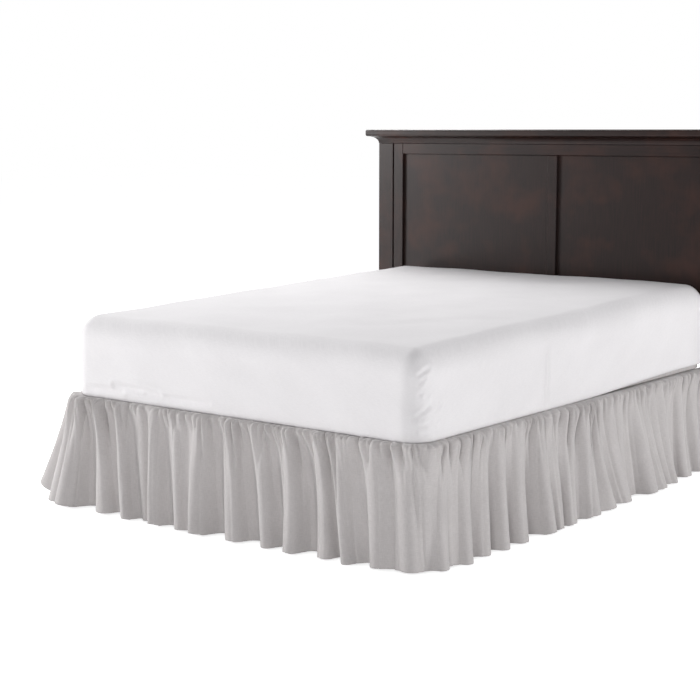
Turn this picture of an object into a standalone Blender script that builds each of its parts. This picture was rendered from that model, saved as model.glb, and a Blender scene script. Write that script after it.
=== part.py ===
"""A gathered bed skirt on a plain queen-size bed.

The skirt is a deck sheet that lies on the foundation, with a border turned down over the edge,
and a gathered ruffle in three widths: left side, foot and right side. The bed is a steel frame,
a foundation, a mattress in its fitted sheet and a panelled headboard.

Metres, +Z up, +X to the sleeper's left as seen from the foot, +Y to the head. The origin is on
the floor under the middle of the bed.
"""

import math
from collections import namedtuple

import bmesh
import bpy
from mathutils import Vector

# ---- driving dimensions -------------------------------------------------------------------
BED_WIDTH = 1.524            # a 60 by 80 inch bed
BED_LENGTH = 2.032
FOUNDATION_TOP = 0.430
FOUNDATION_HEIGHT = 0.220
CORNER_RADIUS = 0.050        # upright corners of the foundation
TOUCH = 0.0003               # gap left between pieces that touch

CLOTH = 0.002                # thickness of the skirt's cloth as modelled
EDGE_CLEARANCE = 0.002       # cloth to the foundation's sides
BORDER = 0.020               # deck border turned down over the edge
HEM_HEIGHT = 0.010           # lowest hem above the floor
CLOTH_DROP = 0.415           # length of a ruffle width from the gathers to the hem
BULGE = 0.28                 # share of the flare that springs out just under the gathers
BULGE_DEPTH = 0.07           # how soon it does, as a share of the drop

MATTRESS_OVERHANG = 0.026    # the mattress is wider than the foundation
MATTRESS_LIP = 0.018         # and its rim sags over the edge by this much
MATTRESS_FOOT_TOP = 0.708
MATTRESS_HEAD_TOP = 0.760
MATTRESS_ROUNDING = 0.085

RAIL = 0.040                 # side of the frame's square tube
RAIL_INSET = 0.022           # foundation's side face to the rail
LEG_STATIONS = (-0.85, 0.0, 0.85)
SLAT_STATIONS = (-0.95, -0.45, 0.25, 0.85)

BOARD_X = 0.010              # the headboard hangs a little to one side
BOARD_FRONT = 1.064
BOARD_HALF_WIDTH = 0.945
POST_WIDTH = 0.082
POST_DEPTH = 0.070
GROOVE = 0.004               # shadow groove between post and inner frame
STILE_WIDTH = 0.052
CENTRE_STILE = 0.048
STILE_SETBACK = 0.002
STILE_DEPTH = 0.040
PANEL_SETBACK = 0.016
PANEL_DEPTH = 0.012
PANEL_TOP = 1.273
RAIL_TOP = 1.322
BOTTOM_RAIL = (0.450, 0.560)
COVE_TOP = 1.354
COVE_REACH = 0.036
CORNICE_TOP = 1.386
CORNICE_REACH = 0.048

# ---- the folds ------------------------------------------------------------------------------
# Each fold is a crest that runs from the gathers to the hem. Its place is given at the gathers,
# half-way down and at the hem. "crest" is how far its hem stands out from the border, and "dip"
# is the same for the valley that follows it.
Fold = namedtuple("Fold", "top middle hem crest dip")

# Along the foot, from the middle of the bed towards the right.
FOOT_FOLDS = (
    Fold(-0.745, -0.752, -0.756, 0.150, 0.032),
    Fold(-0.627, -0.600, -0.570, 0.098, 0.040),
    Fold(-0.500, -0.480, -0.427, 0.118, 0.062),
    Fold(-0.430, -0.395, -0.355, 0.085, 0.070),
    Fold(-0.337, -0.330, -0.298, 0.127, 0.062),
    Fold(-0.240, -0.210, -0.170, 0.112, 0.085),
    Fold(-0.125, -0.125, -0.095, 0.127, 0.045),
    Fold(0.010, 0.035, 0.070, 0.108, 0.035),
    Fold(0.127, 0.170, 0.212, 0.104, 0.045),
    Fold(0.250, 0.285, 0.310, 0.113, 0.022),
    Fold(0.390, 0.430, 0.450, 0.088, 0.030),
    Fold(0.455, 0.495, 0.550, 0.097, 0.028),
    Fold(0.600, 0.625, 0.645, 0.068, 0.046),
    Fold(0.745, 0.752, 0.758, 0.062, 0.050),
)
# Along the right side, from the foot's edge towards the head.
SIDE_FOLDS = (
    Fold(0.085, 0.060, 0.045, 0.075, 0.062),
    Fold(0.210, 0.185, 0.157, 0.101, 0.050),
    Fold(0.315, 0.300, 0.270, 0.095, 0.048),
    Fold(0.415, 0.395, 0.370, 0.103, 0.052),
    Fold(0.545, 0.510, 0.483, 0.104, 0.042),
    Fold(0.655, 0.660, 0.648, 0.124, 0.092),
    Fold(0.738, 0.733, 0.712, 0.115, 0.080),
    Fold(0.848, 0.820, 0.783, 0.118, 0.078),
    Fold(0.978, 0.965, 0.936, 0.129, 0.090),
    Fold(1.035, 1.050, 1.096, 0.117, 0.070),
    Fold(1.150, 1.160, 1.206, 0.107, 0.055),
    Fold(1.365, 1.400, 1.420, 0.122, 0.098),
    Fold(1.430, 1.450, 1.500, 0.110, 0.080),
    Fold(1.600, 1.590, 1.620, 0.100, 0.045),
    Fold(1.775, 1.750, 1.760, 0.095, 0.052),
    Fold(1.885, 1.880, 1.890, 0.088, 0.052),
    Fold(1.985, 1.982, 1.982, 0.092, 0.070),
)
# The wide fold that stands out to the left just behind the foot's left corner. The rest of the
# left side takes the right side's folds from the other end.
LEFT_WING = Fold(0.035, 0.034, 0.034, 0.215, 0.050)
LEFT_FROM_FOOT = 2.075       # left fold's place = this minus the right fold's place
LEFT_FIRST = 0.120           # nearest of them to the foot's edge

COLUMNS = 8                  # mesh columns in a fold
COLUMNS_NARROW = 6           # in one narrower than NARROW
COLUMNS_CORNER = 16          # in one that turns a corner
NARROW = 0.075
ROWS = (0.0, 0.08, 0.30, 0.64, 1.0)


# ---- materials and small builders -----------------------------------------------------------
def material(name, colour, roughness, metallic=0.0):
    made = bpy.data.materials.new(name)
    made.use_nodes = True
    shader = made.node_tree.nodes["Principled BSDF"]
    shader.inputs["Base Color"].default_value = (*colour, 1.0)
    shader.inputs["Roughness"].default_value = roughness
    shader.inputs["Metallic"].default_value = metallic
    made.diffuse_color = (*colour, 1.0)
    return made


def add_object(name, mesh_maker, colour, roughness, metallic=0.0):
    """One named object from a bmesh, with a material of its own."""
    mesh = bpy.data.meshes.new(name)
    mesh_maker.to_mesh(mesh)
    mesh_maker.free()
    mesh.materials.append(material(name, colour, roughness, metallic))
    made = bpy.data.objects.new(name, mesh)
    bpy.context.scene.collection.objects.link(made)
    return made


def bar(name, low, high, colour, roughness, metallic=0.0, bevel=0.002):
    """A square-edged bar between two corners, its edges eased a little."""
    low = Vector(low)
    high = Vector(high)
    maker = bmesh.new()
    bmesh.ops.create_cube(maker, size=1.0)
    bmesh.ops.scale(maker, vec=high - low, verts=maker.verts)
    made = add_object(name, maker, colour, roughness, metallic)
    made.location = (low + high) / 2
    if bevel:
        ease = made.modifiers.new("eased edges", "BEVEL")
        ease.width = bevel
        ease.segments = 1
    return made


def rounded_outline(half_x, half_y, radius, steps=5):
    """Corner points of a rounded rectangle, anticlockwise from the lower right corner."""
    points = []
    for turn, (sx, sy) in enumerate(((1, -1), (1, 1), (-1, 1), (-1, -1))):
        for k in range(steps + 1):
            angle = math.pi / 2 * (turn - 1 + k / steps)
            x = sx * (half_x - radius) + radius * math.cos(angle)
            y = sy * (half_y - radius) + radius * math.sin(angle)
            points.append((x, y))
    return points


STEEL = (0.05, 0.05, 0.055)
TICKING = (0.72, 0.70, 0.66)
SHEET = (0.86, 0.85, 0.84)
GREY_CLOTH = (0.46, 0.44, 0.43)
DARK_WOOD = (0.035, 0.022, 0.018)


# ---- bed ------------------------------------------------------------------------------------
def build_frame():
    top = FOUNDATION_TOP - FOUNDATION_HEIGHT - TOUCH
    under = top - RAIL
    outer = BED_WIDTH / 2 - RAIL_INSET
    inner = outer - RAIL
    foot = -BED_LENGTH / 2 + RAIL_INSET
    head_bar = BOARD_FRONT - TOUCH - RAIL
    steel = (STEEL, 0.45, 0.6)
    for side, name in ((-1, "left"), (1, "right")):
        edges = sorted((side * inner, side * outer))
        bar(f"rail_{name}", (edges[0], foot, under), (edges[1], head_bar - TOUCH, top), *steel)
        for k, y in enumerate(LEG_STATIONS, 1):
            low = (edges[0], y - RAIL / 2, 0.0)
            high = (edges[1], y + RAIL / 2, under - TOUCH)
            bar(f"leg_{name}_{k}", low, high, *steel)
    for k, y in enumerate(SLAT_STATIONS, 1):
        half = inner - TOUCH
        bar(f"slat_{k}", (-half, y - RAIL / 2, under), (half, y + RAIL / 2, top), *steel)
    reach = BOARD_HALF_WIDTH - POST_WIDTH / 4
    low = (BOARD_X - reach, head_bar, under)
    high = (BOARD_X + reach, BOARD_FRONT - TOUCH, top)
    bar("head_rail", low, high, *steel)


def build_foundation():
    outline = rounded_outline(BED_WIDTH / 2, BED_LENGTH / 2, CORNER_RADIUS)
    maker = bmesh.new()
    base = FOUNDATION_TOP - FOUNDATION_HEIGHT
    floor = maker.faces.new([maker.verts.new((x, y, base)) for x, y in outline])
    raised = bmesh.ops.extrude_face_region(maker, geom=[floor])["geom"]
    moved = [v for v in raised if isinstance(v, bmesh.types.BMVert)]
    bmesh.ops.translate(maker, vec=(0, 0, FOUNDATION_HEIGHT), verts=moved)
    bmesh.ops.recalc_face_normals(maker, faces=maker.faces)
    add_object("foundation", maker, TICKING, 0.9)


def build_mattress():
    """A padded block with well rounded edges, thicker at the head, its rim hanging over the deck."""
    half_x = BED_WIDTH / 2 + MATTRESS_OVERHANG
    half_y = BED_LENGTH / 2 + MATTRESS_OVERHANG
    base = FOUNDATION_TOP + CLOTH + 2 * TOUCH
    maker = bmesh.new()
    bmesh.ops.create_cube(maker, size=2.0)
    for v in maker.verts:
        top = MATTRESS_HEAD_TOP if v.co.y > 0 else MATTRESS_FOOT_TOP
        v.co = (v.co.x * half_x, v.co.y * half_y, top if v.co.z > 0 else base - MATTRESS_LIP)
    under = min(maker.faces, key=lambda face: face.calc_center_median().z)
    rim = MATTRESS_OVERHANG - 2 * EDGE_CLEARANCE - CLOTH
    bmesh.ops.inset_region(maker, faces=[under], thickness=rim)
    bmesh.ops.translate(maker, vec=(0, 0, MATTRESS_LIP), verts=under.verts)
    maker.edges.ensure_lookup_table()
    upper = [e.index for e in maker.edges if max(v.co.z for v in e.verts) > base + TOUCH]
    made = add_object("mattress", maker, SHEET, 0.85)
    weights = made.data.attributes.new("bevel_weight_edge", "FLOAT", "EDGE")
    for k in upper:
        weights.data[k].value = 1.0
    rounding = made.modifiers.new("rounded edges", "BEVEL")
    rounding.limit_method = "WEIGHT"
    rounding.width = MATTRESS_ROUNDING
    rounding.segments = 5


def build_headboard():
    wood = (DARK_WOOD, 0.35)
    left = BOARD_X - BOARD_HALF_WIDTH
    right = BOARD_X + BOARD_HALF_WIDTH
    front = BOARD_FRONT
    back = front + POST_DEPTH
    bar("post_left", (left, front, 0), (left + POST_WIDTH, back, RAIL_TOP), *wood)
    bar("post_right", (right - POST_WIDTH, front, 0), (right, back, RAIL_TOP), *wood)

    # The inner frame stands just behind the posts' faces, and the panels lie further back.
    frame_front = front + STILE_SETBACK
    frame_back = frame_front + STILE_DEPTH
    inner_left = left + POST_WIDTH + GROOVE
    inner_right = right - POST_WIDTH - GROOVE
    low_rail, high_rail = BOTTOM_RAIL
    for name, x in (("stile_left", inner_left), ("stile_right", inner_right - STILE_WIDTH)):
        bar(name, (x, frame_front, low_rail), (x + STILE_WIDTH, frame_back, RAIL_TOP), *wood)
    open_left = inner_left + STILE_WIDTH
    open_right = inner_right - STILE_WIDTH
    for name, z0, z1 in (("top_rail", PANEL_TOP, RAIL_TOP), ("bottom_rail", low_rail, high_rail)):
        low = (open_left + TOUCH, frame_front, z0)
        high = (open_right - TOUCH, frame_back, z1)
        bar(name, low, high, *wood)
    centre_left = BOARD_X - CENTRE_STILE / 2
    centre_right = BOARD_X + CENTRE_STILE / 2
    low = (centre_left, frame_front, high_rail + TOUCH)
    high = (centre_right, frame_back, PANEL_TOP - TOUCH)
    bar("stile_centre", low, high, *wood)
    panel_front = front + PANEL_SETBACK
    panel_back = panel_front + PANEL_DEPTH
    spans = (("panel_left", open_left, centre_left), ("panel_right", centre_right, open_right))
    for name, x0, x1 in spans:
        low = (x0 + TOUCH, panel_front, high_rail + TOUCH)
        high = (x1 - TOUCH, panel_back, PANEL_TOP - TOUCH)
        bar(name, low, high, *wood, bevel=0.0)
    build_cove(left, right, front, back)
    low = (left - CORNICE_REACH, front - CORNICE_REACH, COVE_TOP + TOUCH)
    high = (right + CORNICE_REACH, back, CORNICE_TOP)
    slab = bar("cornice", low, high, *wood, bevel=0.009)
    slab.modifiers["eased edges"].segments = 3


def build_cove(left, right, front, back):
    """A hollow moulding round the front and both ends, under the cornice."""
    maker = bmesh.new()
    steps = 6
    rings = []
    for k in range(steps + 1):
        angle = math.pi / 2 * k / steps
        reach = COVE_REACH * (1 - math.cos(angle))
        z = RAIL_TOP + TOUCH + (COVE_TOP - RAIL_TOP - TOUCH) * math.sin(angle)
        corners = ((left - reach, front - reach), (right + reach, front - reach),
                   (right + reach, back), (left - reach, back))
        rings.append([maker.verts.new((x, y, z)) for x, y in corners])
    for lower, upper in zip(rings, rings[1:]):
        for k in range(4):
            j = (k + 1) % 4
            maker.faces.new((lower[k], lower[j], upper[j], upper[k]))
    maker.faces.new(list(reversed(rings[0])))
    maker.faces.new(rings[-1])
    bmesh.ops.recalc_face_normals(maker, faces=maker.faces)
    add_object("cove", maker, DARK_WOOD, 0.35)


# ---- bed skirt ------------------------------------------------------------------------------
# The gather line is the border's middle surface: it runs from the head down the left side,
# across the foot and up the right side. A place on it is the distance along it from the middle
# of the foot, positive to the right.
LINE_HALF_X = BED_WIDTH / 2 + EDGE_CLEARANCE + CLOTH / 2
LINE_HALF_Y = BED_LENGTH / 2 + EDGE_CLEARANCE + CLOTH / 2
LINE_RADIUS = CORNER_RADIUS + EDGE_CLEARANCE + CLOTH / 2
FOOT_STRAIGHT = LINE_HALF_X - LINE_RADIUS
CORNER_ARC = LINE_RADIUS * math.pi / 2
SIDE_START = FOOT_STRAIGHT + CORNER_ARC
SIDE_OFFSET = SIDE_START - CORNER_RADIUS          # from "along the side" to "along the line"
LINE_END = SIDE_OFFSET + BED_LENGTH
GATHER_HEIGHT = FOUNDATION_TOP + CLOTH - BORDER
SEAM_BACK = 0.0008           # a ruffle width's edge to the seam, where two meet at an angle
SEAM_ROOM = 0.0013           # border's lower edge to the gather line, where the cloth leans out


def build_deck():
    """The platform sheet with its turned-down border."""
    lift = FOUNDATION_TOP + TOUCH + CLOTH / 2
    outline = rounded_outline(LINE_HALF_X, LINE_HALF_Y, LINE_RADIUS)
    maker = bmesh.new()
    upper = [maker.verts.new((x, y, lift)) for x, y in outline]
    lower = [maker.verts.new((x, y, GATHER_HEIGHT + SEAM_ROOM)) for x, y in outline]
    maker.faces.new(upper)
    for k in range(len(outline)):
        j = (k + 1) % len(outline)
        maker.faces.new((lower[k], lower[j], upper[j], upper[k]))
    bmesh.ops.recalc_face_normals(maker, faces=maker.faces)
    made = add_object("deck", maker, GREY_CLOTH, 0.9)
    sheet = made.modifiers.new("cloth", "SOLIDIFY")
    sheet.thickness = CLOTH
    sheet.offset = 0.0
    sheet.use_even_offset = True


def line_point(place):
    """Point on the gather line and the outward direction there."""
    side = 1 if place >= 0 else -1
    along = abs(place)
    if along <= FOOT_STRAIGHT:
        return Vector((place, -LINE_HALF_Y, 0)), Vector((0, -1, 0))
    if along >= SIDE_START:
        y = -LINE_HALF_Y + LINE_RADIUS + along - SIDE_START
        return Vector((side * LINE_HALF_X, y, 0)), Vector((side, 0, 0))
    angle = (along - FOOT_STRAIGHT) / LINE_RADIUS
    out = Vector((side * math.sin(angle), -math.cos(angle), 0))
    centre = Vector((side * FOOT_STRAIGHT, -LINE_HALF_Y + LINE_RADIUS, 0))
    return centre + out * LINE_RADIUS, out


def all_folds():
    """Every fold from the head of the left side round to the head of the right side."""
    def moved(fold, to_place):
        return fold._replace(top=to_place(fold.top), middle=to_place(fold.middle),
                             hem=to_place(fold.hem))

    left = []
    for fold, following in zip(SIDE_FOLDS, SIDE_FOLDS[1:] + SIDE_FOLDS[-1:]):
        copy = moved(fold, lambda a: -(SIDE_OFFSET + LEFT_FROM_FOOT - a))
        if LEFT_FROM_FOOT - fold.hem > LEFT_FIRST and LEFT_FROM_FOOT - fold.hem < BED_LENGTH - 0.03:
            left.append(copy)
    wing = moved(LEFT_WING, lambda a: -(SIDE_OFFSET + a))
    right = [moved(fold, lambda a: SIDE_OFFSET + a) for fold in SIDE_FOLDS]
    return left + [wing._replace(dip=0.100)] + list(FOOT_FOLDS) + right


def fold_place(fold, down):
    """Where a crest is, a share of the way down: a curve through its three places."""
    return (fold.top * (1 - down) * (1 - 2 * down) + fold.middle * 4 * down * (1 - down)
            + fold.hem * down * (2 * down - 1))


def cloth_point(place, reach, down):
    """A point of the ruffle at a share of its drop, where its hem stands out by reach."""
    rise = BULGE * (1 - math.exp(-down / BULGE_DEPTH)) + (1 - BULGE) * down
    point, out = line_point(place)
    fall = min(GATHER_HEIGHT - HEM_HEIGHT, math.sqrt(CLOTH_DROP ** 2 - reach ** 2))
    return point + out * (reach * rise) + Vector((0, 0, GATHER_HEIGHT - fall * down))


def turns_corner(fold):
    return FOOT_STRAIGHT < abs(fold.hem) < SIDE_START


def ruffle_columns(folds):
    """Columns of the ruffle's mesh as lists of points, and the columns at the panels' seams."""
    ends = (Fold(-LINE_END, -LINE_END, -LINE_END, 0.07, 0.07),
            Fold(LINE_END, LINE_END, LINE_END, 0.07, 0.07))
    stops = [ends[0]] + folds + [ends[1]]
    columns = []
    valleys = []
    for here, following in zip(stops, stops[1:]):
        count = COLUMNS if following.hem - here.hem > NARROW else COLUMNS_NARROW
        if turns_corner(here) or turns_corner(following):
            count = COLUMNS_CORNER
        for k in range(count):
            share = k / count
            top_of = here.crest if share < 0.5 else following.crest
            reach = here.dip + (top_of - here.dip) * (0.5 + 0.5 * math.cos(2 * math.pi * share))
            column = []
            for down in ROWS:
                a = fold_place(here, down)
                b = fold_place(following, down)
                column.append(cloth_point(a + (b - a) * share, reach, down))
            if k == count // 2:
                valleys.append(len(columns))
            columns.append(column)
    columns.append([cloth_point(LINE_END, ends[1].crest, down) for down in ROWS])
    return columns, valleys


def build_ruffle(name, columns):
    """One gathered width: a sheet through its columns, given the cloth's thickness."""
    maker = bmesh.new()
    grid = [[maker.verts.new(point) for point in column] for column in columns]
    for left, right in zip(grid, grid[1:]):
        for k in range(len(ROWS) - 1):
            maker.faces.new((left[k + 1], right[k + 1], right[k], left[k]))
    made = add_object(name, maker, GREY_CLOTH, 0.9)
    sheet = made.modifiers.new("cloth", "SOLIDIFY")
    sheet.thickness = CLOTH
    sheet.offset = 0.0
    made.data.shade_smooth()


def build_skirt():
    build_deck()
    folds = all_folds()
    columns, valleys = ruffle_columns(folds)
    wing = next(k for k, fold in enumerate(folds) if fold.crest == LEFT_WING.crest)
    corner = wing + len(FOOT_FOLDS)
    # valleys[k] lies just before folds[k], so the seam after a fold is at the next valley.
    seam_left = valleys[wing + 1]
    seam_right = valleys[corner + 2]
    parts = (("ruffle_left", 0, seam_left), ("ruffle_foot", seam_left, seam_right),
             ("ruffle_right", seam_right, len(columns) - 1))
    for name, first, last in parts:
        cut = [list(column) for column in columns[first:last + 1]]
        if first > 0:
            cut[0] = pulled_in(cut[0], cut[1])
        if last < len(columns) - 1:
            cut[-1] = pulled_in(cut[-1], cut[-2])
        build_ruffle(name, cut)


def pulled_in(edge, neighbour):
    """An edge column drawn back from the seam, so that two widths keep their gap."""
    return [a + (b - a).normalized() * SEAM_BACK for a, b in zip(edge, neighbour)]


def main():
    for old in list(bpy.data.objects):
        bpy.data.objects.remove(old)
    build_frame()
    build_foundation()
    build_mattress()
    build_headboard()
    build_skirt()


main()
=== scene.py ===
"""Looks of a gathered bed skirt on its bed: grey cotton ruffles, white fitted sheet, dark wood.

The sections follow the bed as it is put together: room, steel frame, foundation, skirt deck,
ruffles, mattress in its sheet, headboard.
"""
import math
from collections import namedtuple

import bpy
import numpy as np
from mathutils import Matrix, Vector


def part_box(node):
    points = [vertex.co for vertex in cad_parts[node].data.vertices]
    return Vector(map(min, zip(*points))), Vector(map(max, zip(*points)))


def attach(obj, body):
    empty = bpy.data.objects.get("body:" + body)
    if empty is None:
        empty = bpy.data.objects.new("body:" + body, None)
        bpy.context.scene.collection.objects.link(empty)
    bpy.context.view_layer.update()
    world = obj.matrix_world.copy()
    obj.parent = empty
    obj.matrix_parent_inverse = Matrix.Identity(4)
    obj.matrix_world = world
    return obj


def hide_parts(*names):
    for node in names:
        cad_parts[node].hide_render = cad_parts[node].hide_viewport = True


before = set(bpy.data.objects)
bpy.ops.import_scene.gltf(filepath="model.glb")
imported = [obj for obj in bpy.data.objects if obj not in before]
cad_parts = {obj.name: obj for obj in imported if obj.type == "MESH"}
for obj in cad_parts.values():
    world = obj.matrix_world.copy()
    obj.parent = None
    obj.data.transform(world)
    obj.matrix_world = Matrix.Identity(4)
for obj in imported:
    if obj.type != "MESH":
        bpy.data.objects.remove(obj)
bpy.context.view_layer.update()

# ---- Room ------------------------------------------------------------------------------------
# A white studio cove: a pale floor, soft lights that rake the foot from the left and the side from
# the head end, a weaker one in front and one overhead. The camera is 1.4 m up, off the foot's
# right corner.
bed_low, bed_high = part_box("foundation")
MIDDLE = Vector(((bed_low.x + bed_high.x) / 2, (bed_low.y + bed_high.y) / 2, 0))
EYE = MIDDLE + Vector((3.52, -4.946, 1.386))
EYE_TURN = 37.6              # degrees from the bed's long axis
EYE_DOWN = 8.03
FOCAL_MM = 80.4


def tone(code):
    """An sRGB hex colour as the linear values that shaders use."""
    parts = [int(code[k:k + 2], 16) / 255 for k in (1, 3, 5)]
    return tuple(p / 12.92 if p <= 0.04045 else ((p + 0.055) / 1.055) ** 2.4 for p in parts) + (1.0,)


def node(tree, kind, inputs=None, **settings):
    """Adds a node with its settings, and gives each input a value or a link."""
    made = tree.nodes.new(kind)
    for name, value in settings.items():
        setattr(made, name, value)
    for name, value in (inputs or {}).items():
        if isinstance(value, bpy.types.NodeSocket):
            tree.links.new(value, made.inputs[name])
        else:
            made.inputs[name].default_value = value
    return made


def new_material(name, roughness):
    """A material with a shader joined to its output, and that shader's tree."""
    made = bpy.data.materials.new(name)
    made.use_nodes = True
    made.node_tree.nodes.clear()
    shader = node(made.node_tree, "ShaderNodeBsdfPrincipled", {"Roughness": roughness})
    node(made.node_tree, "ShaderNodeOutputMaterial", {"Surface": shader.outputs[0]})
    return made, made.node_tree, shader


def add_object(name, data):
    made = bpy.data.objects.new(name, data)
    bpy.context.scene.collection.objects.link(made)
    return made


camera = add_object("camera", bpy.data.cameras.new("camera"))
camera.location = EYE
camera.rotation_euler = (math.radians(90 - EYE_DOWN), 0, math.radians(EYE_TURN))
camera.data.lens = FOCAL_MM
camera.data.sensor_width = 36
bpy.context.scene.camera = camera

FLOOR_HALF = 30.0
corners = [(-FLOOR_HALF, -FLOOR_HALF, 0), (FLOOR_HALF, -FLOOR_HALF, 0),
           (FLOOR_HALF, FLOOR_HALF, 0), (-FLOOR_HALF, FLOOR_HALF, 0)]
floor_mesh = bpy.data.meshes.new("floor")
floor_mesh.from_pydata(corners, [], [(0, 1, 2, 3)])
floor = add_object("floor", floor_mesh)
# Matt white floor paint. It also glows, but only as the camera sees it and not as light on the bed,
# so that it looks as white as the cove. The cove behind is white to the camera in the same way.
FLOOR_GLOW = 0.78
cove_paint, tree, shader = new_material("matt_white_floor_paint", 0.9)
shader.inputs["Base Color"].default_value = tone("#fafafa")
shader.inputs["Emission Color"].default_value = (1, 1, 1, 1)
seen = node(tree, "ShaderNodeLightPath").outputs["Is Camera Ray"]
glow = node(tree, "ShaderNodeMath", {0: seen, 1: FLOOR_GLOW}, operation="MULTIPLY")
tree.links.new(glow.outputs[0], shader.inputs["Emission Strength"])
floor_mesh.materials.append(cove_paint)

AMBIENT = 0.24
world = bpy.data.worlds.new("white_cove")
bpy.context.scene.world = world
world.use_nodes = True
tree = world.node_tree
tree.nodes.clear()
seen = node(tree, "ShaderNodeLightPath").outputs["Is Camera Ray"]
plain = node(tree, "ShaderNodeBackground", {"Color": (1, 1, 1, 1), "Strength": 1.0}).outputs[0]
soft = node(tree, "ShaderNodeBackground", {"Color": tone("#fbfaff"), "Strength": AMBIENT}).outputs[0]
both = node(tree, "ShaderNodeMixShader", {0: seen, 1: soft, 2: plain})
node(tree, "ShaderNodeOutputWorld", {"Surface": both.outputs[0]})


def soft_light(name, place, aim, size, watts):
    """A square softbox that faces a point."""
    lamp = bpy.data.lights.new(name, "AREA")
    lamp.size = size
    lamp.energy = watts
    made = add_object(name, lamp)
    made.location = place
    made.rotation_euler = (Vector(aim) - Vector(place)).to_track_quat("-Z", "Y").to_euler()


soft_light("left_softbox", (-6.3, -3.4, 2.4), (0, 0, 0.5), 2.2, 340)
soft_light("right_softbox", (8.4, 4.6, 1.5), (0.6, -0.4, 0.4), 2.6, 480)
soft_light("front_softbox", (3.4, -6.8, 2.2), (0.3, -0.8, 0.4), 2.6, 175)
soft_light("ceiling_softbox", (-3.4, 2.8, 4.6), (0, 0, 0.5), 3.2, 300)
bpy.context.scene.view_settings.view_transform = "Standard"

# ---- Steel frame -----------------------------------------------------------------------------
# Square steel tube with welded legs and slats, powder-coated black. It carries the foundation
# and is bolted to the headboard's posts.
PEEL = 0.003                 # powder coat's orange peel is about 1 mm, drawn coarser to show
powder_coat, tree, shader = new_material("black_powder_coat", 0.42)
spot = node(tree, "ShaderNodeTexCoord").outputs["Object"]
peel = node(tree, "ShaderNodeTexNoise", {"Vector": spot, "Scale": 1 / PEEL, "Detail": 2.0})
rubbed = node(tree, "ShaderNodeTexNoise", {"Vector": spot, "Scale": 9.0, "Detail": 5.0})
shade = node(tree, "ShaderNodeValToRGB", {"Fac": rubbed.outputs[0]})
shade.color_ramp.elements[0].color = tone("#1c1d1f")
shade.color_ramp.elements[1].color = tone("#35363a")
tree.links.new(shade.outputs[0], shader.inputs["Base Color"])
bump = node(tree, "ShaderNodeBump", {"Height": peel.outputs[0], "Distance": 0.0002, "Strength": 0.5})
tree.links.new(bump.outputs[0], shader.inputs["Normal"])


def finish_node(name, material):
    """Gives a carried-over CAD node its real finish."""
    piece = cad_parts[name]
    piece.data.materials.clear()
    piece.data.materials.append(material)


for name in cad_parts:
    if name.startswith(("rail_", "slat_", "leg_")) or name == "head_rail":
        finish_node(name, powder_coat)

# ---- Foundation ------------------------------------------------------------------------------
# A boxed foundation under cream cotton ticking, with a sewn welt round its top and bottom edges.
# It lies on the steel slats.
CORNER_RADIUS = 0.050
WELT = 0.004                 # how far a welt stands out from the box
HALF_WIDTH = (bed_high.x - bed_low.x) / 2
HALF_LENGTH = (bed_high.y - bed_low.y) / 2
FOUNDATION_TOP = bed_high.z
WELT_PLACE = 0.012           # a welt's middle to the box's upper or lower edge
TICKING_STRIPE = 0.012       # one stripe to the next
TICKING_WEAVE = 700.0        # a thread is about 0.4 mm, drawn at 1.4 mm to show


def ring(half_x, half_y, radius, steps, corner_steps=10):
    """Points round a rounded rectangle; steps is how many along a long side and a short one."""
    points = []
    for quarter, (sx, sy) in enumerate(((1, -1), (1, 1), (-1, 1), (-1, -1))):
        centre = np.array((sx * (half_x - radius), sy * (half_y - radius)))
        for k in range(corner_steps + 1):
            angle = math.pi / 2 * (quarter - 1 + k / corner_steps)
            points.append(centre + radius * np.array((math.cos(angle), math.sin(angle))))
        straight = 2 * ((half_x, half_y)[quarter % 2 == 0] - radius)
        onward = np.array((-math.sin(angle), math.cos(angle)))
        count = steps[quarter % 2]
        corner_end = points[-1]
        points += [corner_end + onward * straight * k / count for k in range(1, count)]
    return np.array(points)


def loft(half_x, half_y, radius, profile, steps, corner_steps=10):
    """Rings of a rounded rectangle at each (inset, height) of a profile: rows by points by xyz."""
    rows = []
    for inset, height in profile:
        curve = max(radius - inset, 0.003)
        around = ring(half_x - inset, half_y - inset, curve, steps, corner_steps)
        rows.append(np.column_stack((around, np.full(len(around), height))))
    return np.array(rows)


def closed_mesh(name, rows, material):
    """A solid through lofted rows, its first and last rows closed by a face."""
    count, across = rows.shape[:2]
    faces = []
    for r in range(count - 1):
        for c in range(across):
            d = (c + 1) % across
            faces.append((r * across + c, r * across + d, (r + 1) * across + d, (r + 1) * across + c))
    faces.append(tuple(reversed(range(across))))
    faces.append(tuple(range((count - 1) * across, count * across)))
    mesh = bpy.data.meshes.new(name)
    mesh.from_pydata((rows.reshape(-1, 3) + np.array(MIDDLE)).tolist(), [], faces)
    mesh.shade_smooth()
    mesh.materials.append(material)
    return add_object(name, mesh)


def welt_rows(height, body):
    """Half-round welt on the box's side, as (inset, height) steps."""
    turns = [math.pi * k / 8 for k in range(9)]
    return [(body - WELT * math.sin(a), height - WELT * math.cos(a)) for a in turns]


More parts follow.
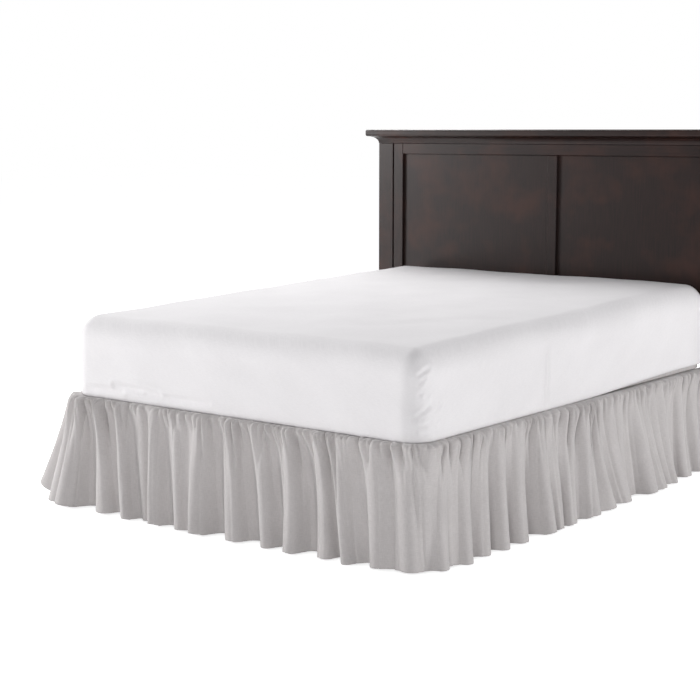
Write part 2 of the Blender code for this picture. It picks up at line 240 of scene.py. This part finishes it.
ticking, tree, shader = new_material("cream_cotton_ticking", 0.88)
spot = node(tree, "ShaderNodeTexCoord").outputs["Object"]
parts = node(tree, "ShaderNodeSeparateXYZ", {0: spot})
across = node(tree, "ShaderNodeMath", {0: parts.outputs[0], 1: parts.outputs[1]}, operation="ADD")
turns = {0: across.outputs[0], 1: 2 * math.pi / TICKING_STRIPE}
wave = node(tree, "ShaderNodeMath", turns, operation="MULTIPLY")
stripe = node(tree, "ShaderNodeMath", {0: wave.outputs[0]}, operation="SINE")
shade = node(tree, "ShaderNodeValToRGB", {"Fac": stripe.outputs[0]})
shade.color_ramp.elements[0].position = 0.80
shade.color_ramp.elements[0].color = tone("#e4ddcf")
shade.color_ramp.elements[1].position = 0.95
shade.color_ramp.elements[1].color = tone("#a9b0b8")
tree.links.new(shade.outputs[0], shader.inputs["Base Color"])
weave = node(tree, "ShaderNodeTexNoise", {"Vector": spot, "Scale": TICKING_WEAVE, "Detail": 2.0})
bump = node(tree, "ShaderNodeBump", {"Height": weave.outputs[0], "Distance": 0.0004, "Strength": 0.6})
tree.links.new(bump.outputs[0], shader.inputs["Normal"])

BASE = bed_low.z
profile = [(0.3, BASE), (0.02, BASE), (WELT + 0.001, BASE + 0.002)]
profile += welt_rows(BASE + WELT_PLACE, WELT) + welt_rows(FOUNDATION_TOP - WELT_PLACE, WELT)
profile += [(WELT + 0.001, FOUNDATION_TOP - 0.002), (0.02, FOUNDATION_TOP), (0.3, FOUNDATION_TOP)]
rows = loft(HALF_WIDTH, HALF_LENGTH, CORNER_RADIUS, profile, (60, 40))
box = closed_mesh("boxed_foundation", rows, ticking)
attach(box, "root")
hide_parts("foundation")

# ---- Skirt deck ------------------------------------------------------------------------------
# The platform sheet of the bed skirt: one plain cut of grey cotton laid over the foundation, its
# border turned down over the edge. The ruffles are sewn to the border.
EDGE_CLEARANCE = 0.002
CLOTH = 0.002                # room that the cloth takes up, seams included
DECK_THICKNESS = 0.0014
TOUCH = 0.0003               # gap left between pieces that touch
BORDER = 0.020
SEAM_ROOM = 0.0018           # border's lower edge to the gather line
OUTSET = EDGE_CLEARANCE + CLOTH / 2
LINE_HALF_X = HALF_WIDTH + OUTSET
LINE_HALF_Y = HALF_LENGTH + OUTSET
LINE_RADIUS = CORNER_RADIUS + OUTSET
GATHER_HEIGHT = FOUNDATION_TOP + CLOTH - BORDER
THREAD = 0.0022              # a cotton thread is about 0.4 mm, drawn coarser to show


def cotton(name, dark, light, sheen):
    """Plain-woven cotton: matt, with uneven threads that run across and down the cloth."""
    made, tree, shader = new_material(name, 0.92)
    flat = node(tree, "ShaderNodeUVMap", uv_map="cut").outputs[0]
    across = node(tree, "ShaderNodeMapping", {"Vector": flat, "Scale": (0.12, 1.0, 1.0)})
    down = node(tree, "ShaderNodeMapping", {"Vector": flat, "Scale": (1.0, 0.12, 1.0)})
    threads = {"Scale": 1 / THREAD, "Detail": 3.0}
    weft = node(tree, "ShaderNodeTexNoise", {"Vector": across.outputs[0], **threads})
    warp = node(tree, "ShaderNodeTexNoise", {"Vector": down.outputs[0], **threads})
    woven = node(tree, "ShaderNodeMath", {0: weft.outputs[0], 1: warp.outputs[0]}, operation="ADD")
    wear = node(tree, "ShaderNodeTexNoise", {"Vector": flat, "Scale": 6.0, "Detail": 4.0})
    both = node(tree, "ShaderNodeMath", {0: wear.outputs[0], 1: woven.outputs[0]}, operation="ADD")
    third = node(tree, "ShaderNodeMath", {0: both.outputs[0], 1: 1 / 3}, operation="MULTIPLY")
    shade = node(tree, "ShaderNodeValToRGB", {"Fac": third.outputs[0]})
    shade.color_ramp.elements[0].position = 0.30
    shade.color_ramp.elements[0].color = tone(dark)
    shade.color_ramp.elements[1].position = 0.70
    shade.color_ramp.elements[1].color = tone(light)
    tree.links.new(shade.outputs[0], shader.inputs["Base Color"])
    raised = {"Height": woven.outputs[0], "Distance": 0.0004, "Strength": 0.35}
    bump = node(tree, "ShaderNodeBump", raised)
    tree.links.new(bump.outputs[0], shader.inputs["Normal"])
    shader.inputs["Sheen Weight"].default_value = sheen
    shader.inputs["Sheen Roughness"].default_value = 0.5
    return made


def cut_layer(mesh, flat):
    """Stores each vertex's place on the flat cut, in metres."""
    layer = mesh.uv_layers.new(name="cut")
    corner = np.empty(len(mesh.loops), dtype=np.int32)
    mesh.loops.foreach_get("vertex_index", corner)
    layer.data.foreach_set("uv", np.asarray(flat, dtype=np.float32)[corner].ravel())


grey_cotton = cotton("grey_cotton", "#aeaaa9", "#c8c4c3", 0.22)
lift = FOUNDATION_TOP + TOUCH + CLOTH / 2
profile = [(0.70, lift), (0.4, lift), (0.1, lift), (0.003, lift), (0.0007, lift - 0.0007),
           (0, lift - 0.003), (0, GATHER_HEIGHT + SEAM_ROOM)]
rows = loft(LINE_HALF_X, LINE_HALF_Y, LINE_RADIUS, profile, (40, 30))
across = rows.shape[1]
faces = []
for r in range(len(rows) - 1):
    for c in range(across):
        d = (c + 1) % across
        faces.append((r * across + c, (r + 1) * across + c, (r + 1) * across + d, r * across + d))
faces.append(tuple(range(across)))
deck_mesh = bpy.data.meshes.new("deck_sheet")
deck_mesh.from_pydata((rows.reshape(-1, 3) + np.array(MIDDLE)).tolist(), [], faces)
deck_mesh.materials.append(grey_cotton)
cut_layer(deck_mesh, rows.reshape(-1, 3)[:, :2])
deck = add_object("deck_sheet", deck_mesh)
thick = deck.modifiers.new("cloth", "SOLIDIFY")
thick.thickness = DECK_THICKNESS
thick.offset = 0.0
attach(deck, "root")
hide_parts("deck")

# ---- Ruffles ---------------------------------------------------------------------------------
# Three widths of the same grey cotton, gathered to the border's lower edge: left side, foot and
# right side. Each hangs in loose folds to a turned and stitched hem just above the floor.
HEM_HEIGHT = 0.010
CLOTH_DROP = 0.415
BULGE = 0.28                 # share of the flare that springs out just under the gathers
BULGE_DEPTH = 0.07
FOOT_STRAIGHT = LINE_HALF_X - LINE_RADIUS
SIDE_START = FOOT_STRAIGHT + LINE_RADIUS * math.pi / 2
SIDE_OFFSET = SIDE_START - CORNER_RADIUS
LINE_END = SIDE_OFFSET + 2 * HALF_LENGTH
SEAM_BACK = 0.0003           # gap left on each side of a seam between two widths
SINGLE = 0.0012              # one layer of cotton, with its crumple
HEM_TURN = 0.022             # height of the turned hem
HEM_THICKNESS = 0.0024
COLUMN = 0.0034              # width of a mesh column at the hem
DRAW_IN = 0.42               # how far a fold's sides are drawn in under its round crest
DRAWN_AT_TOP = 0.3           # share of that at the gathers
CREST_ROUNDNESS = 0.8        # below 1 a crest is broader than a plain wave
HEAD_REACH = 0.07            # how far the hem stands out at the head end

# Where each fold's crest is at the gathers, half-way down and at the hem, and how far its hem and
# the next valley's hem stand out from the border. Foot: from the bed's middle to the right.
Fold = namedtuple("Fold", "top middle hem crest dip")
FOOT_FOLDS = (
    Fold(-0.745, -0.752, -0.756, 0.150, 0.032),
    Fold(-0.627, -0.600, -0.570, 0.098, 0.040),
    Fold(-0.500, -0.480, -0.427, 0.118, 0.062),
    Fold(-0.430, -0.395, -0.355, 0.085, 0.070),
    Fold(-0.337, -0.330, -0.298, 0.127, 0.062),
    Fold(-0.240, -0.210, -0.170, 0.112, 0.085),
    Fold(-0.125, -0.125, -0.095, 0.127, 0.045),
    Fold(0.010, 0.035, 0.070, 0.108, 0.035),
    Fold(0.127, 0.170, 0.212, 0.104, 0.045),
    Fold(0.250, 0.285, 0.310, 0.113, 0.022),
    Fold(0.390, 0.430, 0.450, 0.088, 0.030),
    Fold(0.455, 0.495, 0.550, 0.097, 0.028),
    Fold(0.600, 0.625, 0.645, 0.068, 0.046),
    Fold(0.745, 0.752, 0.758, 0.062, 0.050),
)
# Right side: from the foot's edge towards the head.
SIDE_FOLDS = (
    Fold(0.085, 0.060, 0.045, 0.075, 0.062),
    Fold(0.210, 0.185, 0.157, 0.101, 0.050),
    Fold(0.315, 0.300, 0.270, 0.095, 0.048),
    Fold(0.415, 0.395, 0.370, 0.103, 0.052),
    Fold(0.545, 0.510, 0.483, 0.104, 0.042),
    Fold(0.655, 0.660, 0.648, 0.124, 0.092),
    Fold(0.738, 0.733, 0.712, 0.115, 0.080),
    Fold(0.848, 0.820, 0.783, 0.118, 0.078),
    Fold(0.978, 0.965, 0.936, 0.129, 0.090),
    Fold(1.035, 1.050, 1.096, 0.117, 0.070),
    Fold(1.150, 1.160, 1.206, 0.107, 0.055),
    Fold(1.365, 1.400, 1.420, 0.122, 0.098),
    Fold(1.430, 1.450, 1.500, 0.110, 0.080),
    Fold(1.600, 1.590, 1.620, 0.100, 0.045),
    Fold(1.775, 1.750, 1.760, 0.095, 0.052),
    Fold(1.885, 1.880, 1.890, 0.088, 0.052),
    Fold(1.985, 1.982, 1.982, 0.092, 0.070),
)
# The wide fold behind the foot's left corner. The rest of the left side takes the right side's
# folds from the other end.
LEFT_WING = Fold(0.035, 0.034, 0.034, 0.215, 0.100)
LEFT_FROM_FOOT = 2.075
LEFT_FIRST = 0.120
HEAD_ROOM = 0.03


def moved(fold, to_line):
    return fold._replace(top=to_line(fold.top), middle=to_line(fold.middle), hem=to_line(fold.hem))


left_folds = []
for fold in SIDE_FOLDS:
    if LEFT_FIRST < LEFT_FROM_FOOT - fold.hem < 2 * HALF_LENGTH - HEAD_ROOM:
        left_folds.append(moved(fold, lambda a: -(SIDE_OFFSET + LEFT_FROM_FOOT - a)))
left_folds.append(moved(LEFT_WING, lambda a: -(SIDE_OFFSET + a)))
right_folds = [moved(fold, lambda a: SIDE_OFFSET + a) for fold in SIDE_FOLDS]
head_left = Fold(-LINE_END, -LINE_END, -LINE_END, HEAD_REACH, HEAD_REACH)
head_right = Fold(LINE_END, LINE_END, LINE_END, HEAD_REACH, HEAD_REACH)
stops = [head_left] + left_folds + list(FOOT_FOLDS) + right_folds + [head_right]

# Rows lie closer together at the gathers and in the hem.
down = np.concatenate((np.linspace(0, 0.16, 19)[:-1], np.linspace(0.16, 0.94, 25)[:-1],
                       np.linspace(0.94, 1.0, 6)))


def on_line(place):
    """Points of the gather line at these places, and the outward directions there."""
    side = np.where(place >= 0, 1.0, -1.0)
    along = np.abs(place)
    turn = np.clip((along - FOOT_STRAIGHT) / LINE_RADIUS, 0, math.pi / 2)
    x = side * (np.minimum(along, FOOT_STRAIGHT) + LINE_RADIUS * np.sin(turn))
    y = LINE_RADIUS * (1 - np.cos(turn)) - LINE_HALF_Y + np.maximum(along - SIDE_START, 0)
    return x, y, side * np.sin(turn), -np.cos(turn)


def fold_route(fold):
    """A crest's place on the line at every row: a curve through its three places."""
    return (fold.top * (1 - down) * (1 - 2 * down) + fold.middle * 4 * down * (1 - down)
            + fold.hem * down * (2 * down - 1))


def turns_corner(fold):
    return FOOT_STRAIGHT < abs(fold.hem) < SIDE_START


def ruffle_grid():
    """Place and hem reach of every column, rows by columns, and the column of each valley."""
    places, reaches, valleys = [], [], []
    total = 0
    for here, following in zip(stops, stops[1:]):
        a, b = fold_route(here), fold_route(following)
        swing = here.crest + following.crest - 2 * here.dip
        hem_length = math.hypot(following.hem - here.hem, swing)
        if turns_corner(here) or turns_corner(following):
            hem_length += here.crest * math.pi / 2
        count = 2 * round(hem_length / COLUMN / 2)
        share = np.arange(count) / count
        drawn = DRAW_IN * np.sin(4 * np.pi * share) / (4 * np.pi)
        drawn = drawn[None, :] * (DRAWN_AT_TOP + (1 - DRAWN_AT_TOP) * down[:, None])
        places.append(a[:, None] + (b - a)[:, None] * (share[None, :] + drawn))
        crest = np.where(share < 0.5, here.crest, following.crest)
        round_wave = (0.5 + 0.5 * np.cos(2 * np.pi * share)) ** CREST_ROUNDNESS
        reaches.append(here.dip + (crest - here.dip) * round_wave)
        valleys.append(total + count // 2)
        total += count
    places.append(np.full((len(down), 1), LINE_END))
    reaches.append([head_right.crest])
    return np.concatenate(places, axis=1), np.concatenate(reaches), valleys


PINCH = 0.8                  # extra depth of the narrow crease between two puffs
PINCH_WIDTH = 0.22
WANDER = 0.9                 # how far the pitch wanders, in radians
WANDER_PITCHES = (2.3, 3.7, 6.1)           # slow waves, in pitches to each radian
HEIGHT_PITCH = 2.9           # like those above, for the height


def random_wave(rng, along, pitch, puffed=False):
    """A wave along the cloth whose pitch and height wander, from -1 to 1. A puffed one is round
    outside, with sharp creases between that go deeper than -1."""
    wander = sum(np.sin(along / (pitch * k) + rng.uniform(0, 7)) for k in WANDER_PITCHES)
    height = 0.55 + 0.45 * np.sin(along / (pitch * HEIGHT_PITCH) + rng.uniform(0, 7))
    phase = 2 * np.pi * along / pitch + WANDER * wander
    if not puffed:
        return np.sin(phase) * height
    swing = np.sin(phase / 2)
    return (2 * np.abs(swing) - 1 - PINCH * np.exp(-(swing / PINCH_WIDTH) ** 2)) * height


place, reach, valleys = ruffle_grid()
rise = BULGE * (1 - np.exp(-down / BULGE_DEPTH)) + (1 - BULGE) * down
x, y, out_x, out_y = on_line(place)
fall = np.minimum(GATHER_HEIGHT - HEM_HEIGHT, np.sqrt(CLOTH_DROP ** 2 - reach ** 2))

# Place on the flat cloth, along it and down it.
hem = np.column_stack((x[-1] + out_x[-1] * reach, y[-1] + out_y[-1] * reach))
cloth_along = np.concatenate(([0], np.cumsum(np.linalg.norm(np.diff(hem, axis=0), axis=1))))
cloth_down = down * CLOTH_DROP

# Gather puckers: pitch along the cloth, height, and the depth over which they fade.
PUCKERS = ((0.024, 0.0075, 0.030), (0.038, 0.0110, 0.055), (0.060, 0.0130, 0.100),
           (0.098, 0.0125, 0.200))
rng = np.random.default_rng(11)
SPRING = 0.006               # depth in which the cloth stands off the seam
LEAN = 0.25                  # how far a crease drifts sideways as it runs down
SHORTEST = 0.012             # least depth in which a gather fades
DRIFT_PITCH = 0.7
FADE_PITCH = 0.19
TILT = 0.12                  # how far a soft crease leans as it runs down
TILT_PITCH = 0.5
HEADING_PITCH = 0.031
HEM_EDGE = 0.002             # depth over which the hem's thickness comes in
spring = (1 - np.exp(-cloth_down / SPRING))[:, None]
PUFF = (0.015, 0.050)        # the gathers stand out by this much, and settle over this depth
lean = cloth_down[:, None] * LEAN
puckers = np.zeros_like(place)
for pitch, height, fade in PUCKERS:
    drift = lean * random_wave(rng, cloth_along, DRIFT_PITCH)[None, :]
    wave = random_wave(rng, cloth_along[None, :] + drift, pitch, puffed=True)
    length = fade * (0.7 + 0.5 * random_wave(rng, cloth_along, FADE_PITCH)[None, :])
    fading = np.exp(-(cloth_down[:, None] / np.maximum(length, SHORTEST)) ** 1.5)
    puckers += (0.6 + wave) * height * fading
# The hem's stitching draws it up a little.
HEM_PITCH = 0.016
HEM_PUCKER = 0.0007
STITCH_WIDTH = 0.010
from_stitches = (CLOTH_DROP - cloth_down[:, None] - HEM_TURN) / STITCH_WIDTH
drawn_up = random_wave(rng, cloth_along, HEM_PITCH)[None, :]
puckers += HEM_PUCKER * drawn_up * np.exp(-from_stitches ** 2)
# Soft creases that run down to the hem: pitch and height.
SOFT_WAVES = ((0.23, 0.0050), (0.11, 0.0042), (0.064, 0.0024))
for pitch, height in SOFT_WAVES:
    tilt = cloth_down[:, None] * TILT * random_wave(rng, cloth_along, TILT_PITCH)[None, :]
    wave = random_wave(rng, cloth_along[None, :] + tilt, pitch, puffed=True)
    puckers += height * wave * np.sqrt(down[:, None])

puckers += PUFF[0] * np.exp(-cloth_down[:, None] / PUFF[1])
stand = np.maximum(reach[None, :] * rise[:, None] + puckers * spring, 0.0)
# Just under the gathers the cloth springs up before it falls, by an uneven amount.
HEADING = (0.011, 0.010)     # how far up, and how far down the cloth that is
HIGHEST = GATHER_HEIGHT + 0.0012
along_it = cloth_down[:, None] / HEADING[1]
uneven = 0.6 + 0.5 * random_wave(rng, cloth_along, HEADING_PITCH, puffed=True)[None, :]
lift = HEADING[0] * uneven * along_it * np.exp(1 - along_it)
height = np.minimum(GATHER_HEIGHT - fall[None, :] * down[:, None] + lift, HIGHEST)
height[0] = GATHER_HEIGHT
grid = np.stack((x + out_x * stand, y + out_y * stand, height), axis=2)


def thickened(name, grid, flat, thickness, material):
    """A closed sheet: the grid's surface moved half the thickness to each side."""
    along = np.gradient(grid, axis=1)
    below = np.gradient(grid, axis=0)
    normal = np.cross(below, along)
    normal /= np.linalg.norm(normal, axis=2, keepdims=True)
    half = normal * thickness[:, None, None] / 2
    rows, columns = grid.shape[:2]
    size = rows * columns
    points = np.concatenate(((grid + half).reshape(-1, 3), (grid - half).reshape(-1, 3)))
    k = np.arange(size).reshape(rows, columns)
    outer = np.stack((k[1:, :-1], k[1:, 1:], k[:-1, 1:], k[:-1, :-1]), axis=2).reshape(-1, 4)
    faces = [outer, outer[:, ::-1] + size]
    for edge in (k[0], k[:, -1], k[-1, ::-1], k[::-1, 0]):
        faces.append(np.column_stack((edge[:-1], edge[1:], edge[1:] + size, edge[:-1] + size)))
    mesh = bpy.data.meshes.new(name)
    mesh.from_pydata((points + np.array(MIDDLE)).tolist(), [], np.concatenate(faces).tolist())
    mesh.shade_smooth()
    mesh.materials.append(material)
    cut_layer(mesh, np.concatenate((flat, flat)))
    return add_object(name, mesh)


wing = len(left_folds)
seam_left = valleys[wing + 1]
seam_right = valleys[wing + len(FOOT_FOLDS) + 2]
last_column = place.shape[1] - 1
widths = (("left", 0, seam_left), ("foot", seam_left, seam_right),
          ("right", seam_right, last_column))
hem_share = np.clip((cloth_down - (CLOTH_DROP - HEM_TURN)) / HEM_EDGE, 0, 1)
thickness = SINGLE + (HEM_THICKNESS - SINGLE) * hem_share
thickness[0] = SINGLE / 2
for side, first, last in widths:
    part = grid[:, first:last + 1].copy()
    if first > 0:
        step = part[:, 1] - part[:, 0]
        part[:, 0] += step / np.linalg.norm(step, axis=1, keepdims=True) * SEAM_BACK
    if last < last_column:
        step = part[:, -2] - part[:, -1]
        part[:, -1] += step / np.linalg.norm(step, axis=1, keepdims=True) * SEAM_BACK
    wide, deep = np.meshgrid(cloth_along[first:last + 1], cloth_down)
    flat = np.column_stack((wide.ravel(), deep.ravel()))
    piece = thickened(f"ruffle_cloth_{side}", part, flat, thickness, grey_cotton)
    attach(piece, "root")
    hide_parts(f"ruffle_{side}")

# ---- Mattress --------------------------------------------------------------------------------
# A spring mattress in a white cotton fitted sheet, pulled over its corners and tucked under. It
# sits on the deck and its soft rim hangs a little over the edge.
OVERHANG = 0.026
ROUNDING = 0.085
FOOT_TOP = 0.708
HEAD_TOP = 0.760
LIP = FOUNDATION_TOP - 0.016
UNDERSIDE = FOUNDATION_TOP + 0.0032
RIM = 0.0175                 # width of the rim that hangs over
SHOULDER_STEPS = 20
CROWN = 0.006

half_x, half_y = HALF_WIDTH + OVERHANG, HALF_LENGTH + OVERHANG
# Profile from the middle underneath to the middle on top. Each point is an inset and a share of
# the height between the rim and the top. The flat underside is given by its insets alone.
WALL_BOTTOM = 0.055
WALL_TOP = 0.675             # share of the height at which the shoulder begins
WALL_STEPS = 22
TOP_STEPS = 24
MIDDLE_GAP = 0.015           # half-width of the flat strip along the middle
body = [(0.006, 0.0), (0.002, 0.020), (0.0, WALL_BOTTOM)]
wall_run = WALL_TOP - WALL_BOTTOM
body += [(0.0, WALL_BOTTOM + wall_run * k / WALL_STEPS) for k in range(1, WALL_STEPS + 1)]
rounded = [math.pi / 2 * k / SHOULDER_STEPS for k in range(1, SHOULDER_STEPS + 1)]
body += [(ROUNDING * (1 - math.cos(a)), WALL_TOP + (1 - WALL_TOP) * math.sin(a)) for a in rounded]
flat_run = half_x - MIDDLE_GAP - ROUNDING
body += [(ROUNDING + flat_run * k / TOP_STEPS, 1.0) for k in range(1, TOP_STEPS + 1)]
under = (half_x - MIDDLE_GAP, 0.4, 0.1, RIM + 0.002)
profile = [(inset, 0.0) for inset in under] + [(RIM, 0.0), (RIM - 0.003, 0.0)] + body
rows = loft(half_x, half_y, ROUNDING, profile, (330, 200), 24)
share = np.array([height for _, height in profile])[:, None]
px, py = rows[..., 0], rows[..., 1]
toward_head = (py + half_y) / (2 * half_y)
top = FOOT_TOP + (HEAD_TOP - FOOT_TOP) * toward_head
# Towards the head the soft rim no longer hangs over the edge.
RISE_START = -0.05
RISE_RUN = 0.85
ease = np.clip((py - RISE_START) / RISE_RUN, 0, 1)
rim_rise = ease * ease * (3 - 2 * ease)
lip = LIP + (UNDERSIDE - LIP) * rim_rise
rows[..., 2] = lip + share * (top - lip)
rows[:len(under) + 1, :, 2] = UNDERSIDE
crown = np.clip(1 - (px / half_x) ** 2, 0, 1) * np.clip(1 - (py / half_y) ** 2, 0, 1)
rows[..., 2] += CROWN * crown * np.clip((share - WALL_TOP) / (1 - WALL_TOP), 0, 1) ** 2

# Creases in the sheet: pulls from the tucked corner, the side seam, faint lines over the top, and
# slack along the foot's lower edge. Each is placed by the mattress's own faces.
CORNER_MIDDLE_X = half_x - ROUNDING
CORNER_MIDDLE_Y = ROUNDING - half_y


def corner_point(turn, height):
    """A point on the upright corner, so many degrees round from the foot towards the side."""
    angle = math.radians(turn)
    out = CORNER_MIDDLE_X + ROUNDING * math.sin(angle)
    return out, CORNER_MIDDLE_Y - ROUNDING * math.cos(angle), height


def side_point(along, height):
    return half_x, along, height


def foot_point(sideways, height):
    return sideways, -half_y, height


def top_point(sideways, along):
    rise = (along + half_y) / (2 * half_y)
    return sideways, along, FOOT_TOP + (HEAD_TOP - FOOT_TOP) * rise


Crease = namedtuple("Crease", "start end depth width")
SEAM = -0.28                 # the sheet's side seam, on the foot side of the bed's middle
CREASES = (
    Crease(corner_point(45, 0.63), side_point(-0.97, 0.66), 0.006, 0.006),
    Crease(corner_point(45, 0.60), corner_point(60, 0.62), 0.006, 0.005),
    Crease(corner_point(45, 0.57), corner_point(70, 0.58), 0.006, 0.005),
    Crease(corner_point(60, 0.56), side_point(-0.97, 0.58), 0.006, 0.005),
    Crease(corner_point(35, 0.49), corner_point(70, 0.53), 0.008, 0.007),
    Crease(corner_point(50, 0.49), side_point(-0.93, 0.53), 0.009, 0.007),
    Crease(corner_point(35, 0.45), corner_point(75, 0.49), 0.008, 0.006),
    Crease(corner_point(50, 0.45), side_point(-0.94, 0.47), 0.009, 0.006),
    Crease(corner_point(35, 0.44), side_point(-0.96, 0.44), 0.006, 0.005),
    Crease(side_point(SEAM - 0.01, 0.43), side_point(SEAM, 0.65), 0.006, 0.005),
    Crease(side_point(SEAM + 0.02, 0.43), side_point(SEAM + 0.02, 0.65), 0.004, 0.005),
    Crease(top_point(0.70, SEAM - 0.02), top_point(0.50, -0.40), 0.002, 0.035),
    Crease(top_point(0.70, SEAM), top_point(0.55, -0.20), 0.002, 0.035),
    Crease(top_point(0.50, -0.40), top_point(0.30, -0.70), 0.002, 0.035),
    Crease(foot_point(-0.56, 0.47), foot_point(-0.34, 0.46), 0.009, 0.012),
    Crease(foot_point(-0.40, 0.45), foot_point(-0.10, 0.45), 0.006, 0.010),
    Crease(foot_point(-0.70, 0.45), foot_point(-0.52, 0.45), 0.006, 0.010),
)
across_row = np.roll(rows, -1, axis=1) - np.roll(rows, 1, axis=1)
outward = np.cross(across_row, np.gradient(rows, axis=0))
outward /= np.maximum(np.linalg.norm(outward, axis=2, keepdims=True), 1e-9)
outward[(share >= 1)[:, 0]] = (0, 0, 1)
RIDGE = 0.525                # height of the ridge beside a crease, as a share of its depth
dent = np.zeros(rows.shape[:2])
for start, end, depth, wide in CREASES:
    start, end = np.array(start), np.array(end)
    line = end - start
    at = np.clip(((rows - start) @ line) / (line @ line), 0, 1)
    gap = np.linalg.norm(rows - (start + at[..., None] * line), axis=2)
    taper = np.sin(np.pi * (0.15 + 0.7 * at))
    ridge = RIDGE * np.exp(-((gap - 1.6 * wide) / wide) ** 2)
    dent += depth * taper * (ridge - np.exp(-(gap / wide) ** 2))
# Slight slack all over, in waves of about half a metre, and shorter level ones.
SLACK = 0.0016
LEVEL_SLACK = 0.0012
slack = SLACK * np.sin(px * 13 + 2 * np.sin(py * 5)) * np.cos(py * 11 + np.sin(px * 7))
slack += LEVEL_SLACK * np.sin(rows[..., 2] * 40 + px * 9 + py * 6)
wall = len(under) + 3        # the first row above the rim
rows[wall:] += (outward * (dent + slack)[..., None])[wall:]

white_cotton = cotton("white_cotton_sheet", "#dddbdc", "#e9e7e8", 0.06)
mattress = closed_mesh("mattress_in_fitted_sheet", rows, white_cotton)
spread = rows.reshape(-1, 3)
cut_layer(mattress.data, np.column_stack((spread[:, 0] + spread[:, 2], spread[:, 1] - spread[:, 2])))
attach(mattress, "root")
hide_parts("mattress")

# ---- Headboard -------------------------------------------------------------------------------
# Posts, stiles, rails and two flat panels of dark-stained hardwood under a cove and cornice, with
# a satin lacquer. The grain runs the long way of each piece.
GRAIN = 0.006                # pores are about 0.3 mm wide, drawn coarser to show
UPRIGHT_PIECES = ("post_left", "post_right", "stile_left", "stile_right", "stile_centre",
                  "panel_left", "panel_right")
LEVEL_PIECES = ("top_rail", "bottom_rail", "cove", "cornice")


def stained_wood(name, stretch):
    """Dark-stained hardwood: grain stretched one way, reddish where the stain took less."""
    made, tree, shader = new_material(name, 0.34)
    spot = node(tree, "ShaderNodeTexCoord").outputs["Object"]
    long_way = node(tree, "ShaderNodeMapping", {"Vector": spot, "Scale": stretch}).outputs[0]
    pores = node(tree, "ShaderNodeTexNoise", {"Vector": long_way, "Scale": 1 / GRAIN, "Detail": 6.0})
    patches = node(tree, "ShaderNodeTexNoise", {"Vector": spot, "Scale": 7.0, "Detail": 3.0})
    stain = node(tree, "ShaderNodeValToRGB", {"Fac": pores.outputs[0]})
    stain.color_ramp.elements[0].position = 0.35
    stain.color_ramp.elements[0].color = tone("#1a0d09")
    stain.color_ramp.elements[1].position = 0.72
    stain.color_ramp.elements[1].color = tone("#271512")
    reddish = node(tree, "ShaderNodeValToRGB", {"Fac": patches.outputs[0]})
    reddish.color_ramp.elements[0].position = 0.50
    reddish.color_ramp.elements[0].color = (0, 0, 0, 1)
    reddish.color_ramp.elements[1].position = 0.72
    reddish.color_ramp.elements[1].color = (0.6, 0.6, 0.6, 1)
    colours = {0: reddish.outputs[0], 6: stain.outputs[0], 7: tone("#3d2016")}
    mixed = node(tree, "ShaderNodeMix", colours, data_type="RGBA")
    tree.links.new(mixed.outputs[2], shader.inputs["Base Color"])
    bump = node(tree, "ShaderNodeBump", {"Height": pores.outputs[0], "Distance": 0.0003, "Strength": 0.3})
    tree.links.new(bump.outputs[0], shader.inputs["Normal"])
    shader.inputs["Coat Weight"].default_value = 0.12
    shader.inputs["Specular IOR Level"].default_value = 0.38
    shader.inputs["Coat Roughness"].default_value = 0.30
    return made


upright = stained_wood("dark_stained_wood_upright", (1.0, 1.0, 0.05))
level = stained_wood("dark_stained_wood_level", (0.05, 1.0, 1.0))
for names, wood in ((UPRIGHT_PIECES, upright), (LEVEL_PIECES, level)):
    for name in names:
        finish_node(name, wood)
